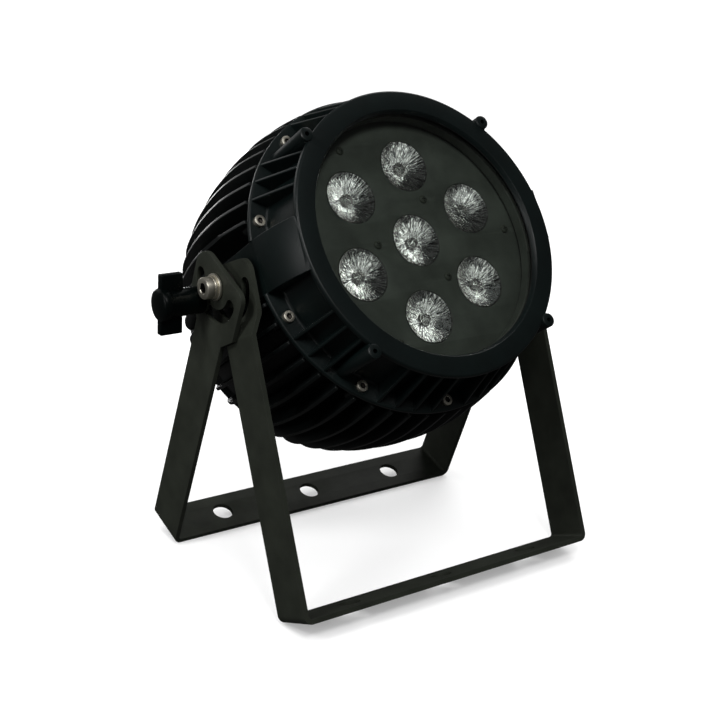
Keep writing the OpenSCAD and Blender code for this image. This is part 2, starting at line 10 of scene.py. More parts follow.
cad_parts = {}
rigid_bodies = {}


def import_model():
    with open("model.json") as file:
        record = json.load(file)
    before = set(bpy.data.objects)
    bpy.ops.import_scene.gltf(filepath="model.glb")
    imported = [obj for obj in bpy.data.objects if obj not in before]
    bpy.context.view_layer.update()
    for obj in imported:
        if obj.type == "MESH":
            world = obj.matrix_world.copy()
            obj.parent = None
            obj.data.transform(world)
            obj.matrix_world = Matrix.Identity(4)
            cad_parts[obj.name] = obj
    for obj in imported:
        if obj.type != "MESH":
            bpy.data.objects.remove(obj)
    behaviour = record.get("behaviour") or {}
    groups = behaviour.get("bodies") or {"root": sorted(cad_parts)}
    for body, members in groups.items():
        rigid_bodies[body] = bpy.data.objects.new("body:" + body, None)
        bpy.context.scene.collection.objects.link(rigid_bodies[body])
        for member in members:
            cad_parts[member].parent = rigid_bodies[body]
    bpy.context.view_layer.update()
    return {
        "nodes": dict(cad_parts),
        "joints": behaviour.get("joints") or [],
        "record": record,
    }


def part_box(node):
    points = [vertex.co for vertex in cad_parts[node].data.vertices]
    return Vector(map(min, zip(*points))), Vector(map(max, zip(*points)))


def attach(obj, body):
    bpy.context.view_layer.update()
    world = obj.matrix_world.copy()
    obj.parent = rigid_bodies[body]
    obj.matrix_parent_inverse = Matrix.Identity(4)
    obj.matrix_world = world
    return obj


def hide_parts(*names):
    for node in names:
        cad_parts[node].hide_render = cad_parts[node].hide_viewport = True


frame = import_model()
scene = bpy.context.scene

# ---- places ------------------------------------------------------------------------
# Lengths in this script are millimetres until piece() scales them to metres.
MM = 0.001
joints = {j["name"]: j for j in frame["joints"]}
PIVOT = Vector(joints["head_tilt"]["pos_m"])
AXIS = Vector(joints["button_menu_press"]["axis"]).normalized()
TILT = math.asin(AXIS.z)
REAR_LEAN, FRONT_LEAN = math.radians(19), math.radians(-23.8)
SIDES = (-1, 1)


def turned(axis, angle):
    return Matrix.Rotation(angle, 4, axis)


def moved(x, y, z):
    return Matrix.Translation((x, y, z))


ROW = Matrix.Scale(MM, 4)
AT_PIVOT = Matrix.Translation(PIVOT) @ ROW
GLASS_Z, GLASS_T, GLASS_R = 55.9, 4, 80
# The head frame: X stays, Y runs up the lens face, Z along the optical axis through the glass.
glass_low, glass_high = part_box("front_glass")
HEAD = (Matrix.Translation((glass_low + glass_high) / 2) @ ROW @ turned("X", math.pi / 2 - TILT)
        @ moved(0, 0, -GLASS_Z - GLASS_T / 2))
# Height of the pivot above the optical axis, and the knob stud's place, in the head frame.
LIFT = (HEAD.inverted() @ PIVOT).y
stud_place = Vector(joints["knob_left_turn"]["pos_m"])
stud_place.x = 0
_, STUD_Y, STUD_Z = HEAD.inverted() @ stud_place


# ---- camera and light ----------------------------------------------------------------
CAMERA_TURN, CAMERA_RISE, CAMERA_ROLL = map(math.radians, (-37.131, 19.089, 3.446))
CAMERA_PLACE = PIVOT + Vector((-0.511158, -0.666486, 0.227257))
CAMERA_LENS, CAMERA_SENSOR = 69.25, 36
FLOOR_SIZE, FLOOR_DROP, FLOOR_PALE, FLOOR_WASH = 14, 0.0003, 0.86, 3.65
# How bright the white surroundings are to everything but the camera.
SURROUND = 0.05


def add_camera():
    azimuth, elevation, roll = CAMERA_TURN, CAMERA_RISE, CAMERA_ROLL
    back = Vector((math.sin(azimuth) * math.cos(elevation),
                   -math.cos(azimuth) * math.cos(elevation), math.sin(elevation)))
    level = Vector((math.cos(azimuth), math.sin(azimuth), 0))
    upright = back.cross(level)
    right = math.cos(roll) * level + math.sin(roll) * upright
    up = -math.sin(roll) * level + math.cos(roll) * upright
    data = bpy.data.cameras.new("camera")
    data.lens = CAMERA_LENS
    data.sensor_width = CAMERA_SENSOR
    camera = bpy.data.objects.new("camera", data)
    facing = Matrix((right, up, back)).transposed().to_4x4()
    camera.matrix_world = Matrix.Translation(CAMERA_PLACE) @ facing
    scene.collection.objects.link(camera)
    scene.camera = camera


def area_light(name, place, aim, size, power):
    """A soft rectangular lamp, all lengths in metres."""
    data = bpy.data.lights.new(name, "AREA")
    data.shape = "RECTANGLE"
    data.size, data.size_y = size
    data.energy = power
    light = bpy.data.objects.new(name, data)
    light.location = place
    light.rotation_euler = (Vector(aim) - Vector(place)).to_track_quat("-Z", "Y").to_euler()
    scene.collection.objects.link(light)
    return light


def add_floor():
    """A pale floor with a shadowless wash of its own, which leaves soft contact shadows only."""
    bm = bmesh.new()
    bmesh.ops.create_grid(bm, x_segments=1, y_segments=1, size=FLOOR_SIZE)
    mesh = bpy.data.meshes.new("floor")
    bm.to_mesh(mesh)
    bm.free()
    floor = bpy.data.objects.new("floor", mesh)
    floor.location.z = -FLOOR_DROP
    floor.visible_diffuse = False
    floor.visible_glossy = False
    group = bpy.data.collections.new("floor_only")
    scene.collection.children.link(group)
    group.objects.link(floor)
    material, _, skin = new_material("floor")
    skin.inputs["Base Color"].default_value = (FLOOR_PALE, FLOOR_PALE, FLOOR_PALE, 1)
    skin.inputs["Roughness"].default_value = 0.9
    skin.inputs["Specular IOR Level"].default_value = 0.1
    mesh.materials.append(material)
    lamp = bpy.data.lights.new("floor_wash", "SUN")
    lamp.energy = FLOOR_WASH
    lamp.use_shadow = False
    lamp.angle = math.radians(170)
    wash = bpy.data.objects.new("floor_wash", lamp)
    scene.collection.objects.link(wash)
    wash.light_linking.receiver_collection = group


def add_world():
    """White to the camera, dim to everything else."""
    world = bpy.data.worlds.new("studio")
    world.use_nodes = True
    tree = world.node_tree
    background = tree.nodes["Background"]
    background.inputs["Color"].default_value = (1, 1, 1, 1)
    seen = add_node(tree, "LightPath").outputs["Is Camera Ray"]
    tree.links.new(spread(tree, seen, SURROUND, 1, 0, 1), background.inputs["Strength"])
    scene.world = world
    scene.view_settings.view_transform = "Standard"


# ---- materials ---------------------------------------------------------------------
def new_material(name):
    material = bpy.data.materials.new(name)
    material.use_nodes = True
    tree = material.node_tree
    return material, tree, tree.nodes["Principled BSDF"]


def add_node(tree, kind, settings=(), **inputs):
    made = tree.nodes.new("ShaderNode" + kind)
    for name, value in dict(settings).items():
        setattr(made, name, value)
    for name, value in inputs.items():
        socket = made.inputs[name.replace("_", " ")]
        if isinstance(value, bpy.types.NodeSocket):
            tree.links.new(value, socket)
        else:
            socket.default_value = value
    return made


def noise(tree, grain, detail=3, coordinates=None):
    """Noise whose lumps are about grain millimetres across."""
    where = coordinates or add_node(tree, "TexCoord").outputs["Object"]
    made = add_node(tree, "TexNoise", Vector=where, Scale=1 / (grain * MM), Detail=detail)
    return made.outputs["Fac"]


def spread(tree, value, low, high, start=0.3, end=0.7):
    """value from start..end mapped to low..high."""
    made = add_node(tree, "MapRange", Value=value, From_Min=start, From_Max=end,
                    To_Min=low, To_Max=high)
    return made.outputs["Result"]


def blend_colour(tree, factor, first, second):
    made = add_node(tree, "Mix", {"data_type": "RGBA"})
    for socket, value in zip((0, 6, 7), (factor, first, second)):
        if isinstance(value, bpy.types.NodeSocket):
            tree.links.new(value, made.inputs[socket])
        else:
            made.inputs[socket].default_value = (*value, 1)
    return made.outputs[2]


def edge_mask(tree, radius):
    """1 along outer and inner edges, 0 on open faces."""
    soft = add_node(tree, "Bevel", {"samples": 4}, Radius=radius * MM).outputs["Normal"]
    true = add_node(tree, "NewGeometry").outputs["Normal"]
    alike = add_node(tree, "VectorMath", {"operation": "DOT_PRODUCT"})
    tree.links.new(soft, alike.inputs[0])
    tree.links.new(true, alike.inputs[1])
    return add_node(tree, "MapRange", Value=alike.outputs["Value"], From_Min=0.995, From_Max=0.9,
                    To_Min=0.0, To_Max=1.0).outputs["Result"]


def coat(name, colour, worn, roughness, grain, bump, specular=0.5, edge=0.5, metallic=0.0):
    """Paint, plastic or metal: mottled colour, a grainy surface and paler edges."""
    material, tree, skin = new_material(name)
    mottle = spread(tree, noise(tree, 18, 4), 0, 1)
    fine = noise(tree, grain, 4)
    light = [min(1, c * 1.25) for c in colour]
    dark = [c * 0.8 for c in colour]
    body = blend_colour(tree, mottle, dark, light)
    if edge:
        rubbed = add_node(tree, "Math", {"operation": "MULTIPLY"})
        tree.links.new(edge_mask(tree, edge), rubbed.inputs[0])
        tree.links.new(spread(tree, noise(tree, 6, 5), 0.25, 1), rubbed.inputs[1])
        body = blend_colour(tree, rubbed.outputs[0], body, worn)
    tree.links.new(body, skin.inputs["Base Color"])
    tree.links.new(spread(tree, fine, roughness - 0.06, roughness + 0.08), skin.inputs["Roughness"])
    relief = add_node(tree, "Bump", Height=fine, Strength=1.0, Distance=bump * MM)
    tree.links.new(relief.outputs["Normal"], skin.inputs["Normal"])
    skin.inputs["Specular IOR Level"].default_value = specular
    skin.inputs["Metallic"].default_value = metallic
    return material


def clear_glass(name, tint, index, smear):
    """Thin clear sheet: what is behind it shows, with a mirror sheen by Fresnel."""
    material, tree, skin = new_material(name)
    tree.nodes.remove(skin)
    through = add_node(tree, "BsdfTransparent")
    through.inputs["Color"].default_value = (*tint, 1)
    mirror = add_node(tree, "BsdfGlossy")
    smudge = spread(tree, noise(tree, 9, 3), smear * 0.5, smear * 1.5)
    tree.links.new(smudge, mirror.inputs["Roughness"])
    sheen = add_node(tree, "Fresnel", IOR=index)
    outside = spread(tree, add_node(tree, "NewGeometry").outputs["Backfacing"], 1, 0, 0, 1)
    amount = add_node(tree, "Math", {"operation": "MULTIPLY"})
    tree.links.new(sheen.outputs["Fac"], amount.inputs[0])
    tree.links.new(outside, amount.inputs[1])
    both = add_node(tree, "MixShader")
    tree.links.new(amount.outputs[0], both.inputs["Fac"])
    tree.links.new(through.outputs[0], both.inputs[1])
    tree.links.new(mirror.outputs[0], both.inputs[2])
    tree.links.new(both.outputs[0], tree.nodes["Material Output"].inputs["Surface"])
    return material


def streaked_mirror(name, dark, bright):
    """Silvering seen through a moulded lens: streaks that run out from the middle, in its roughness
    and relief, and painted into its colour as light and dark reflections.
    """
    material, tree, skin = new_material(name)
    place = add_node(tree, "Attribute", {"attribute_name": "polar"}).outputs["Vector"]
    streaks = add_node(tree, "TexNoise", Vector=place, Scale=1.3, Detail=4.0).outputs["Fac"]
    # The streaks paint the silvering's colour from dark to bright: painted reflections standing in
    # for the glints of the facets.
    painted_glint_silver = blend_colour(tree, spread(tree, streaks, 0, 1, 0.4, 0.55), dark, bright)
    tree.links.new(painted_glint_silver, skin.inputs["Base Color"])
    tree.links.new(spread(tree, streaks, 0.24, 0.1), skin.inputs["Roughness"])
    relief = add_node(tree, "Bump", Height=streaks, Strength=1.0, Distance=0.4 * MM)
    tree.links.new(relief.outputs["Normal"], skin.inputs["Normal"])
    skin.inputs["Metallic"].default_value = 1.0
    skin.inputs["Specular IOR Level"].default_value = 0.5
    return material


# Each coat: colour, worn colour, then roughness, grain and bump in millimetres, and where given
# specular level, width of the worn edge in millimetres and metallic share.
COATS = {
    "cast_black": ((0.0032, 0.0078, 0.0076), (0.018, 0.028, 0.028), 0.38, 0.5, 0.012, 0.4),
    "sink_black": ((0.004, 0.006, 0.006), (0.03, 0.034, 0.034), 0.42, 0.5, 0.012, 0.42),
    "bracket_black": ((0.042, 0.0475, 0.0365), (0.065, 0.07, 0.062), 0.55, 0.4, 0.03, 0.2),
    "stainless": ((0.82, 0.77, 0.66), (0.92, 0.88, 0.8), 0.42, 0.3, 0.006, 0.5, 0.3, 1.0),
    "zinc_steel": ((0.55, 0.55, 0.54), (0.8, 0.8, 0.8), 0.3, 0.3, 0.01, 0.5, 0.3, 1.0),
    "knob_plastic": ((0.0012, 0.0028, 0.0027), (0.008, 0.011, 0.011), 0.32, 1.2, 0.003, 0.14, 0.4),
    "seal_rubber": ((0.006, 0.006, 0.006), (0.012, 0.012, 0.012), 0.6, 0.4, 0.02, 0.3),
    "plate_black": ((0.066, 0.074, 0.062), (0.08, 0.08, 0.075), 0.55, 0.3, 0.004, 0.3),
    "holder_black": ((0.01, 0.01, 0.01), (0.03, 0.03, 0.03), 0.5, 0.4, 0.01, 0.4),
    "led_emitter": ((0.75, 0.6, 0.15), (0.8, 0.7, 0.3), 0.4, 0.3, 0.005, 0.5, 0),
    "board_white": ((0.7, 0.7, 0.68), (0.75, 0.75, 0.72), 0.4, 0.5, 0.005),
    "pad_grey": ((0.3, 0.33, 0.4), (0.35, 0.38, 0.45), 0.7, 0.6, 0.02),
    "board_green": ((0.02, 0.12, 0.05), (0.05, 0.2, 0.1), 0.35, 0.4, 0.01),
    "supply_case": ((0.5, 0.5, 0.5), (0.7, 0.7, 0.7), 0.35, 0.3, 0.01, 0.5, 0.4, 1.0),
    "display_tint": ((0.008, 0.012, 0.016), (0.03, 0.03, 0.03), 0.12, 2, 0.002, 0.5, 0.3),
    "button_grey": ((0.05, 0.05, 0.052), (0.1, 0.1, 0.1), 0.45, 0.4, 0.01, 0.4, 0.4),
    "socket_plastic": ((0.008, 0.008, 0.009), (0.03, 0.03, 0.03), 0.4, 0.4, 0.01, 0.4, 0.4),
    "friction_fibre": ((0.02, 0.018, 0.016), (0.04, 0.036, 0.03), 0.8, 0.5, 0.04, 0.2, 0.3),
    # The dark steel for the inside of the screws' hexagon sockets is painted shade, standing in for
    # the shade that falls in the recess.
    "socket_painted_shade": ((0.05, 0.045, 0.04), (0.1, 0.09, 0.08), 0.4, 0.3, 0.01, 0.5, 0, 1.0),
}
MATERIALS = {name: coat(name, *values) for name, values in COATS.items()}
MATERIALS["window_glass"] = clear_glass("window_glass", (0.93, 0.95, 0.94), 1.45, 0.02)
MATERIALS["lens_clear"] = clear_glass("lens_clear", (0.97, 0.97, 0.97), 1.35, 0.04)
MATERIALS["lens_mirror"] = streaked_mirror("lens_mirror", (0.16, 0.16, 0.16), (0.96, 0.95, 0.92))


# ---- mesh helpers ----------------------------------------------------------------------
def arc(cx, cy, radius, start, end, steps=8):
    """Points of an arc about (cx, cy), angles in degrees."""
    angles = [math.radians(start + (end - start) * i / steps) for i in range(steps + 1)]
    return [(cx + radius * math.cos(a), cy + radius * math.sin(a)) for a in angles]


def rounded(points, radius, steps=4):
    """A closed outline with its corners rounded, by one radius or by one for each point."""
    radii = radius if hasattr(radius, "__len__") else [radius] * len(points)
    done = []
    for i, r in enumerate(radii):
        corner = Vector(points[i])
        before = Vector(points[i - 1]) - corner
        after = Vector(points[(i + 1) % len(points)]) - corner
        half = before.angle(after) / 2
        if r <= 0 or half > math.radians(85):
            done.append(tuple(corner))
            continue
        reach = min(r / math.tan(half), 0.45 * before.length, 0.45 * after.length)
        r = reach * math.tan(half)
        inward = (before.normalized() + after.normalized()).normalized()
        centre = corner + inward * (r / math.sin(half))
        first = corner + before.normalized() * reach - centre
        last = corner + after.normalized() * reach - centre
        turn = first.angle_signed(last)
        for k in range(steps + 1):
            done.append(tuple(centre + first @ Matrix.Rotation(turn * k / steps, 2)))
    return done


def lathe(bm, rings, sides=96, closed=True, matrix=Matrix()):
    """Turns rings of (radius, height) about Z. A third value of "hex" gives a ring six flats."""
    loops = []
    for ring in rings:
        radius, height = ring[:2]
        if radius < 1e-6:
            loops.append([bm.verts.new(matrix @ Vector((0, 0, height)))])
            continue
        loop = []
        for i in range(sides):
            angle = 2 * math.pi * i / sides
            reach = radius
            if len(ring) > 2:
                reach = radius / math.cos((angle + math.pi / 6) % (math.pi / 3) - math.pi / 6)
            place = Vector((reach * math.cos(angle), reach * math.sin(angle), height))
            loop.append(bm.verts.new(matrix @ place))
        loops.append(loop)
    pairs = list(zip(loops, loops[1:])) + ([(loops[-1], loops[0])] if closed else [])
    for low, high in pairs:
        if len(low) == 1 and len(high) == 1:
            continue
        for i in range(sides):
            j = (i + 1) % sides
            if len(low) == 1:
                bm.faces.new((low[0], high[j], high[i]))
            elif len(high) == 1:
                bm.faces.new((low[i], low[j], high[0]))
            else:
                bm.faces.new((low[i], low[j], high[j], high[i]))


def rod(bm, radius, z0, z1, edge=0.3, sides=32, matrix=Matrix()):
    """A closed round bar with rounded ends."""
    lathe(bm, [(0, z0), (radius - edge, z0), (radius, z0 + edge), (radius, z1 - edge),
               (radius - edge, z1), (0, z1)], sides, False, matrix)


def washer(bm, outer, inner, z0, z1, edge=0.2, sides=48, matrix=Matrix()):
    """A flat ring with rounded edges."""
    section = rounded([(inner, z0), (outer, z0), (outer, z1), (inner, z1)], edge, 2)
    lathe(bm, section, sides, True, matrix)


def prism(bm, outline, z0, z1, holes=(), bevel=0.0, segments=2, matrix=Matrix()):
    """A plate with holes between two heights, its edges rounded by bevel."""
    part = bmesh.new()
    loops = [outline, *holes]
    low = [[part.verts.new((x, y, z0)) for x, y in loop] for loop in loops]
    high = [[part.verts.new((x, y, z1)) for x, y in loop] for loop in loops]
    triangles = tessellate_polygon([[Vector((x, y, 0)) for x, y in loop] for loop in loops])
    for verts in (low, high):
        flat = [v for loop in verts for v in loop]
        for triangle in triangles:
            part.faces.new([flat[i] for i in triangle])
    for a, b in zip(low, high):
        for i in range(len(a)):
            part.faces.new((a[i - 1], a[i], b[i], b[i - 1]))
    bmesh.ops.recalc_face_normals(part, faces=part.faces)
    if bevel:
        round_edges(part, bevel, segments)
    part.transform(matrix)
    add_part(bm, part)


def add_part(bm, part):
    """Moves the mesh of part into bm."""
    keep = bpy.data.meshes.new("part")
    part.to_mesh(keep)
    part.free()
    bm.from_mesh(keep)
    bpy.data.meshes.remove(keep)


def round_edges(bm, bevel, segments=2):
    """Rounds every edge that turns by more than 50 degrees."""
    sharp = math.radians(50)
    edges = [e for e in bm.edges if len(e.link_faces) == 2 and e.calc_face_angle() > sharp]
    bmesh.ops.bevel(bm, geom=edges, offset=bevel, offset_type="OFFSET", segments=segments,
                    profile=0.5, affect="EDGES", clamp_overlap=True)


def boxed(bm, low, high, bevel=0.0, segments=2, matrix=Matrix()):
    """A block between two corners."""
    (x0, y0, z0), (x1, y1, z1) = low, high
    prism(bm, [(x0, y0), (x1, y0), (x1, y1), (x0, y1)], z0, z1, (), bevel, segments, matrix)


def circle(x, y, radius, sides=32):
    return arc(x, y, radius, 0, 360 * (1 - 1 / sides), sides - 1)


def boolean(bm, cutter, operation="DIFFERENCE"):
    """bm with cutter taken from it or joined to it, as a new mesh. Both are used up."""
    parts = []
    for i, source in enumerate((bm, cutter)):
        bmesh.ops.recalc_face_normals(source, faces=source.faces)
        mesh = bpy.data.meshes.new("boolean")
        source.to_mesh(mesh)
        source.free()
        parts.append(bpy.data.objects.new("boolean", mesh))
        scene.collection.objects.link(parts[i])
    modifier = parts[0].modifiers.new("boolean", "BOOLEAN")
    modifier.operation = operation
    modifier.solver = "EXACT"
    modifier.object = parts[1]
    bpy.context.view_layer.update()
    result = bmesh.new()
    result.from_object(parts[0], bpy.context.evaluated_depsgraph_get())
    for part in parts:
        bpy.data.meshes.remove(part.data)
    return result


def piece(name, bm, body, slot, nodes, matrix=HEAD, smooth=32, materials=()):
    """Finishes a piece: put in its place in metres, shaded, painted, tied to its body, and its CAD
    nodes hidden.
    """
    bmesh.ops.recalc_face_normals(bm, faces=bm.faces)
    bm.transform(matrix)
    mesh = bpy.data.meshes.new(name)
    bm.to_mesh(mesh)
    bm.free()
    mesh.shade_smooth()
    mesh.set_sharp_from_angle(angle=math.radians(smooth))
    made = bpy.data.objects.new(name, mesh)
    scene.collection.objects.link(made)
    for material in (slot, *materials):
        mesh.materials.append(MATERIALS[material])
    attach(made, body)
    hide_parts(*nodes)
    return made


def ring_of(count, radius, start=0):
    """Matrices around the optical axis, angles in degrees."""
    angles = [math.radians(start + 360 * i / count) for i in range(count)]
    return [turned("Z", angle) @ moved(radius, 0, 0) for angle in angles]


# ---- yoke brackets -----------------------------------------------------------------------
STRIP_T, STRIP_W = 3, 30
REAR_HALF_W = -1000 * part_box("rear_bracket")[0].x
REAR_LEN, FRONT_LEN = 190, 200.077
FRONT_HALF_W = -1000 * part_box("front_bracket")[0].x
JOGGLE, JOGGLE_TOP, JOGGLE_LOW = 5.8, -20, -33
BEND_R = 5
SLOT_R, SLOT_HALF_W, SLOT_ANGLE, SLOT_LONG_ANGLE = 17.8, 4.3, 82.5, 105
HUB_BORE_R = 4.3
CLAMP_HOLE_R, CLAMP_PITCH = 6.75, 70


def slot_outline(start, end):
    """An arc slot about the pivot, between two angles from straight down, rearward positive."""
    def at(radius, angle):
        return (radius * math.sin(math.radians(angle)), -radius * math.cos(math.radians(angle)))
    steps = 24
    turns = [start + (end - start) * i / steps for i in range(steps + 1)]
    outer = [at(SLOT_R + SLOT_HALF_W, a) for a in turns]
    inner = [at(SLOT_R - SLOT_HALF_W, a) for a in reversed(turns)]
    end_cap = arc(*at(SLOT_R, end), SLOT_HALF_W, end - 90, end + 90, 8)[1:-1]
    start_cap = arc(*at(SLOT_R, start), SLOT_HALF_W, start + 90, start + 270, 8)[1:-1]
    return outer + end_cap + inner + start_cap


def bracket(name, body, half_w, length, inset, shift, ear, slot_angles, lean):
    """A strip cut flat with its ears, slots and holes, then bent: flat X runs along the strip."""
    bend_start = half_w - BEND_R
    bend_end = bend_start + BEND_R * math.pi / 2
    height_offset = bend_end + length - BEND_R

    def flat(points, side):
        return [(side * (z + height_offset), y) for y, z in points]

    edges = [(shift + STRIP_W / 2, -120), (shift - STRIP_W / 2, -120)]
    right = [edges[0], *ear, edges[1]]
    outline = flat(right, 1) + flat(list(reversed(right)), -1)
    holes = [circle(i * CLAMP_PITCH, shift, CLAMP_HOLE_R, 40) for i in (-1, 0, 1)]
    for side in SIDES:
        holes.append(flat(circle(0, 0, HUB_BORE_R, 32), side))
        holes.append(flat(slot_outline(*slot_angles), side))
    bm = bmesh.new()
    prism(bm, outline, 0, STRIP_T, holes, 0.45, 3)

    cuts = [bend_start + (bend_end - bend_start) * i / 10 for i in range(11)]
    if inset:
        cuts += [JOGGLE_LOW + z + height_offset for z in (-2, -1, 0, 1)]
        cuts += [JOGGLE_TOP + z + height_offset for z in (-1.5, 0, 1.5)]
    for cut in cuts:
        for side in SIDES:
            geometry = bm.verts[:] + bm.edges[:] + bm.faces[:]
            bmesh.ops.bisect_plane(bm, geom=geometry, plane_co=(side * cut, 0, 0),
                                   plane_no=(1, 0, 0))

    def ear_offset(z):
        share = min(1, max(0, (z - JOGGLE_LOW) / (JOGGLE_TOP - JOGGLE_LOW)))
        return inset * (share * share * (3 - 2 * share) if 0 < share < 1 else share)

    for v in bm.verts:
        along, across, depth = v.co
        side = 1 if along >= 0 else -1
        along = abs(along)
        if along < bend_start:
            v.co = (side * along, across, depth - length)
        elif along < bend_end:
            angle = (along - bend_start) / BEND_R
            reach = BEND_R - depth
            v.co = (side * (bend_start + reach * math.sin(angle)), across,
                    BEND_R - length - reach * math.cos(angle))
        else:
            z = along - height_offset
            v.co = (side * (half_w - ear_offset(z) - depth), across, z)
    return piece(name, bm, body, "bracket_black", [body], AT_PIVOT @ turned("X", lean), 24)


REAR_SHIFT, FRONT_SHIFT = -2.8, -9.1
rear_ear = [(REAR_SHIFT + STRIP_W / 2, -31), (25, -15), *arc(13, 2, 12, 0, 90, 8),
            *arc(-21.5, 5, 6, 97, 180, 6), (-27.5, -20.5), (REAR_SHIFT - STRIP_W / 2, -31)]
bracket("look_rear_bracket", "rear_bracket", REAR_HALF_W, REAR_LEN, 0, REAR_SHIFT,
        rear_ear, (-SLOT_ANGLE, SLOT_ANGLE), REAR_LEAN)
front_ear = [(FRONT_SHIFT + STRIP_W / 2, -36), (25.6, -17), *arc(16.6, 3.7, 9, 0, 90, 8),
             *arc(-16.6, 3.7, 9, 90, 180, 8), (-25.6, -18), (FRONT_SHIFT - STRIP_W / 2, -24)]
bracket("look_front_bracket", "front_bracket", FRONT_HALF_W, FRONT_LEN, JOGGLE, FRONT_SHIFT,
        front_ear, (-SLOT_ANGLE, SLOT_LONG_ANGLE), FRONT_LEAN)


# ---- front housing -----------------------------------------------------------------------
BEZEL_R, BEZEL_Z, BEZEL_T, WINDOW_R = 90.6, 63.5, 3.7, 76.5
FLANGE_R, FLANGE_Z, FLANGE_T = 101.8, 27.7, 3.2
SCREWS, SCREW_RING, SCREW_START = 10, 95.3, 18
LUG_RING, LUG_R, LUG_TOP = 93.2, 4.4, 64.4
BARREL_IN, BARREL_FRONT, BARREL_BACK = 83.5, 86, 90
BLOCK_FACE, BLOCK_HALF, BLOCK_BACK = 99.2, 16.3, -26


def front_housing():
    bm = bmesh.new()
    ledge = GLASS_Z - 4.6
    flange_low, bezel_low = FLANGE_Z - FLANGE_T, BEZEL_Z - BEZEL_T
    profile = [(BARREL_IN, flange_low), (FLANGE_R, flange_low), (FLANGE_R, FLANGE_Z),
               (BARREL_BACK, FLANGE_Z), (BARREL_FRONT, bezel_low - 1), (BEZEL_R, bezel_low),
               (BEZEL_R, BEZEL_Z), (WINDOW_R + 1.6, BEZEL_Z), (WINDOW_R, BEZEL_Z - 3),
               (BARREL_IN - 2.6, BEZEL_Z - 3), (BARREL_IN - 2.6, ledge), (BARREL_IN, ledge)]
    radii = [0.3, 1.05, 1.05, 1.6, 1.2, 1.05, 1.4, 0.5, 0.2, 0, 0, 0]
    lathe(bm, rounded(profile, radii, 4), 192)

    ribs = bmesh.new()
    spine = [(84.6, FLANGE_Z - 1), (FLANGE_R - 0.8, FLANGE_Z - 1), (FLANGE_R - 0.8, FLANGE_Z),
             (BEZEL_R - 0.5, bezel_low + 0.6), (84.6, bezel_low + 0.6)]
    for k in range(SCREWS):
        for j in range(1, 5):
            angle = math.radians(SCREW_START + 36 * k + 7.2 * j)
            if abs(math.sin(angle)) < 0.2 or abs(math.cos(2 * angle)) < 0.08:
                continue
            stand = turned("Z", angle) @ moved(0, 0.9, 0) @ turned("X", math.pi / 2)
            prism(ribs, spine, 0, 1.8, (), 0.55, 3, stand)
    bm = boolean(bm, ribs, "UNION")

    lugs = bmesh.new()
    for place in ring_of(4, LUG_RING, 45):
        post = [(0, FLANGE_Z - 1), (LUG_R, FLANGE_Z - 1), (LUG_R, LUG_TOP - 0.9),
                (LUG_R - 0.25, LUG_TOP - 0.3), (LUG_R - 0.9, LUG_TOP), (0, LUG_TOP)]
        lathe(lugs, post, 40, False, place)
    bm = boolean(bm, lugs, "UNION")
    webs = bmesh.new()
    for place in ring_of(4, LUG_RING, 45):
        boxed(webs, (-8, -LUG_R, FLANGE_Z - 1), (0, LUG_R, BEZEL_Z - 1), 0.5, 2, place)
    bm = boolean(bm, webs, "UNION")

    blocks = bmesh.new()
    block_front = BEZEL_Z - 0.8
    rise, drop = block_front - FLANGE_Z, BLOCK_FACE - BEZEL_R + 0.6
    ramp_end = 2 * math.atan(drop / rise)
    ramp = rise / math.sin(ramp_end)
    side_view = [(85.6, BLOCK_BACK), (BLOCK_FACE, BLOCK_BACK),
                 *arc(BLOCK_FACE - ramp, FLANGE_Z, ramp, 0, math.degrees(ramp_end), 14),
                 (85.6, block_front)]
    for side in SIDES:
        stand = moved(0, BLOCK_HALF + LIFT, 0) @ turned("X", math.pi / 2)
        prism(blocks, side_view, 0, 2 * BLOCK_HALF, (), 0.5, 3,
              Matrix.Diagonal((side, 1, 1, 1)) @ stand)
    bm = boolean(bm, blocks, "UNION")

    cuts = bmesh.new()
    for place in ring_of(SCREWS, SCREW_RING, SCREW_START):
        rod(cuts, 4.3, FLANGE_Z - 0.5, FLANGE_Z + 6, 0.1, 32, place)
    for place in ring_of(4, LUG_RING, 45):
        rod(cuts, 1.5, LUG_TOP - 12, LUG_TOP + 1, 0.1, 24, place)
    for side in SIDES:
        across = turned("Y", side * math.pi / 2)
        rod(cuts, 4, 88, BLOCK_FACE + 1, 0.1, 32, moved(0, LIFT, 0) @ across)
        rod(cuts, 4, 88, BLOCK_FACE + 1, 0.1, 32, moved(0, STUD_Y, STUD_Z) @ across)
        # The flange is cut away beside each block, just clear of the block's own faces.
        x0, x1 = sorted((side * (BLOCK_FACE + 0.03), side * (BLOCK_FACE + 5)))
        half = BLOCK_HALF + 0.03
        boxed(cuts, (x0, LIFT - half, flange_low - 2), (x1, LIFT + half, FLANGE_Z + 1))
    bm = boolean(bm, cuts)
    piece("look_front_housing", bm, "head", "cast_black", ["front_housing"])


front_housing()

# ---- heat sink ---------------------------------------------------------------------------
FIN_COUNT, FIN_T, SINK_R, SINK_BACK = 50, 2.2, 107.4, -107
SINK_FRONT, FIN_FRONT, DECK_Z, DECK_T = 23.7, 23.2, 25, 8
COVER_Z, RIM_BACK, RIM_IN_R, RIM_OUT_R = -92, -105, 63.2, 66
EAR_SWEEP_R, EAR_SWEEP_X = 41, 101.3


def smooth_line(points, steps=4):
    """A smooth curve through points."""
    line = []
    for i in range(len(points) - 1):
        p = [Vector(points[min(max(k, 0), len(points) - 1)]) for k in (i - 1, i, i + 1, i + 2)]
        for k in range(steps):
            t = k / steps
            line.append(tuple(0.5 * (2 * p[1] + (p[2] - p[0]) * t
                                     + (2 * p[0] - 5 * p[1] + 4 * p[2] - p[3]) * t ** 2
                                     + (3 * p[1] - p[0] - 3 * p[2] + p[3]) * t ** 3)))
    return line + [tuple(points[-1])]


